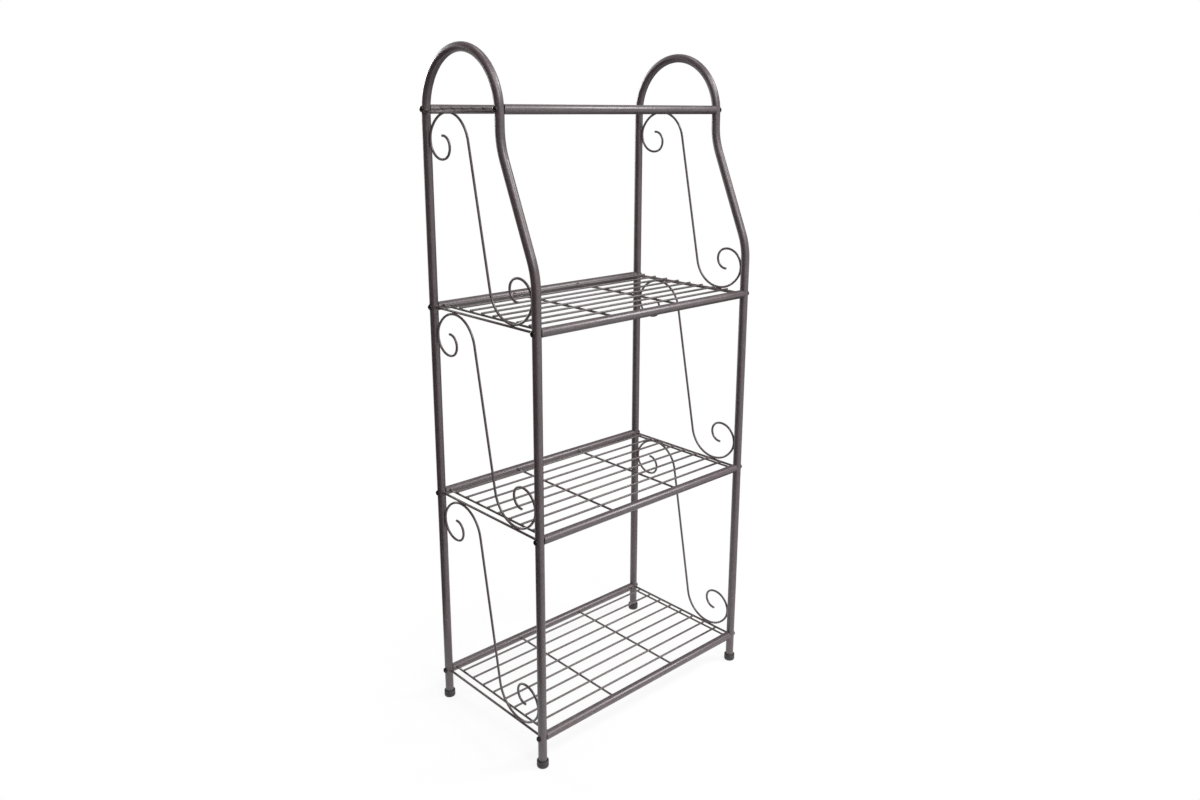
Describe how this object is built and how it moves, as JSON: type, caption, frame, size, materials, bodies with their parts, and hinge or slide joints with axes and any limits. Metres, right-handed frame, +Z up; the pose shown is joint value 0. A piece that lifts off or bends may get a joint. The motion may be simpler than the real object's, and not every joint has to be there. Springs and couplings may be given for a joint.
{
  "type": "tiered plant stand",
  "caption": "Free-standing tiered plant stand: bent-tube side frames with arched tops, forward-kicked front legs and wire scrolls, bolted to shelves of tube rails and wire decks.",
  "frame": {"origin": "on the floor, in the middle of the four feet", "axes": "+Z up, +X along the shelf rails to the right, +Y to the rear; the front legs kick forward to -Y"},
  "size_m": [0.6092, 0.3564, 1.409],
  "materials": {
    "powder_coated_steel": "satin bronze-grey powder coat with a fine speckle",
    "bolt_steel": "blackened steel, satin",
    "plug_steel": "plain zinc-plated steel",
    "moulded_plastic": "dark grey moulded plastic, matte"
  },
  "bodies": {
    "root": {"bottom_cross_wires": "powder_coated_steel", "bottom_front_rail": "powder_coated_steel", "bottom_long_wires": "powder_coated_steel", "bottom_rear_rail": "powder_coated_steel", "frame_bolts": "bolt_steel", "front_left_foot": "moulded_plastic", "front_right_foot": "moulded_plastic", "left_bottom_scroll": "powder_coated_steel", "left_bottom_side_bar": "powder_coated_steel", "left_lower_side_bar": "powder_coated_steel", "left_middle_scroll": "powder_coated_steel", "left_side_tube": "powder_coated_steel", "left_top_scroll": "powder_coated_steel", "left_top_side_bar": "powder_coated_steel", "left_upper_side_bar": "powder_coated_steel", "lower_cross_wires": "powder_coated_steel", "lower_front_rail": "powder_coated_steel", "lower_long_wires": "powder_coated_steel", "lower_rear_rail": "powder_coated_steel", "rail_plugs": "plug_steel", "rear_left_foot": "moulded_plastic", "rear_right_foot": "moulded_plastic", "right_bottom_scroll": "powder_coated_steel", "right_bottom_side_bar": "powder_coated_steel", "right_lower_side_bar": "powder_coated_steel", "right_middle_scroll": "powder_coated_steel", "right_side_tube": "powder_coated_steel", "right_top_scroll": "powder_coated_steel", "right_top_side_bar": "powder_coated_steel", "right_upper_side_bar": "powder_coated_steel", "top_cross_wires": "powder_coated_steel", "top_front_rail": "powder_coated_steel", "top_long_wires": "powder_coated_steel", "top_rear_rail": "powder_coated_steel", "upper_cross_wires": "powder_coated_steel", "upper_front_rail": "powder_coated_steel", "upper_long_wires": "powder_coated_steel", "upper_rear_rail": "powder_coated_steel"}
  },
  "joints": []
}
